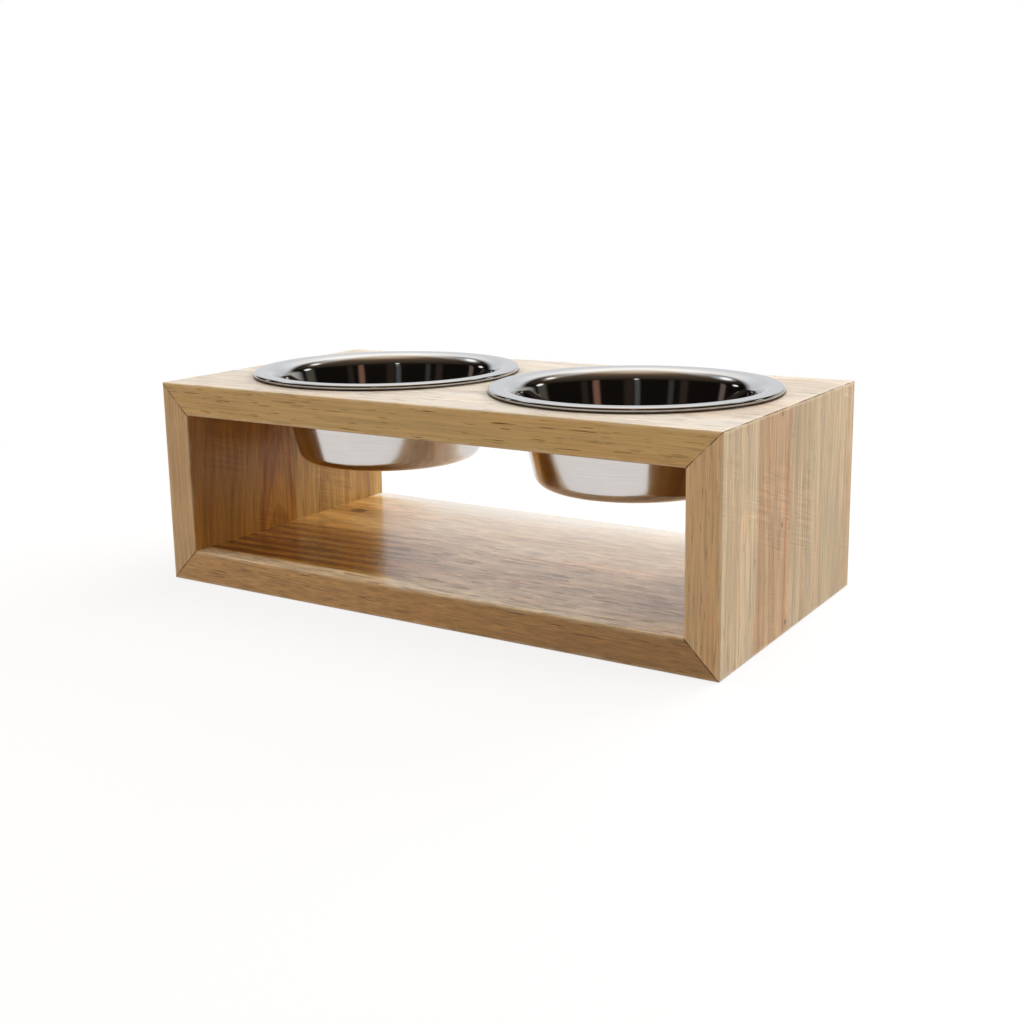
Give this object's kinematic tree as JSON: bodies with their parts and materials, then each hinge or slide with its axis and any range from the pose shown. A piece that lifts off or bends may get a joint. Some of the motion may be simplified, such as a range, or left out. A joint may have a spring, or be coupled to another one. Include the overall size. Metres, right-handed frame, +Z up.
{
  "type": "pet bowl stand",
  "caption": "Raised pet feeder: an open frame of mitred pine boards, with steel bowls that hang by their flanged rims in round holes in the top board and lift out.",
  "frame": {"origin": "middle of the stand's footprint, on the floor", "axes": "+X along the stand to the right as seen from its front, +Y to the rear, +Z up"},
  "size_m": [0.4, 0.204, 0.1376],
  "materials": {
    "lacquered_pine": "satin clear lacquer on pine",
    "pressed_beech": "raw pressed beech",
    "polished_steel": "polished inside and on the rim, satin outside"
  },
  "bodies": {
    "frame": {"top_board": "lacquered_pine", "bottom_board": "lacquered_pine", "left_front_stave": "lacquered_pine", "left_rear_stave": "lacquered_pine", "right_front_stave": "lacquered_pine", "right_rear_stave": "lacquered_pine", "biscuit_top_right_front": "pressed_beech", "biscuit_top_right_rear": "pressed_beech", "biscuit_bottom_right_front": "pressed_beech", "biscuit_bottom_right_rear": "pressed_beech", "biscuit_bottom_left_front": "pressed_beech", "biscuit_bottom_left_rear": "pressed_beech", "biscuit_top_left_front": "pressed_beech", "biscuit_top_left_rear": "pressed_beech"},
    "left_bowl": {"left_bowl": "polished_steel"},
    "right_bowl": {"right_bowl": "polished_steel"}
  },
  "joints": [
    {"name": "left_bowl_lift", "type": "slide", "parent": "frame", "child": "left_bowl", "axis": [0, 0, 1], "range_m": [0, 0.09]},
    {"name": "right_bowl_lift", "type": "slide", "parent": "frame", "child": "right_bowl", "axis": [0, 0, 1], "range_m": [0, 0.09]}
  ]
}
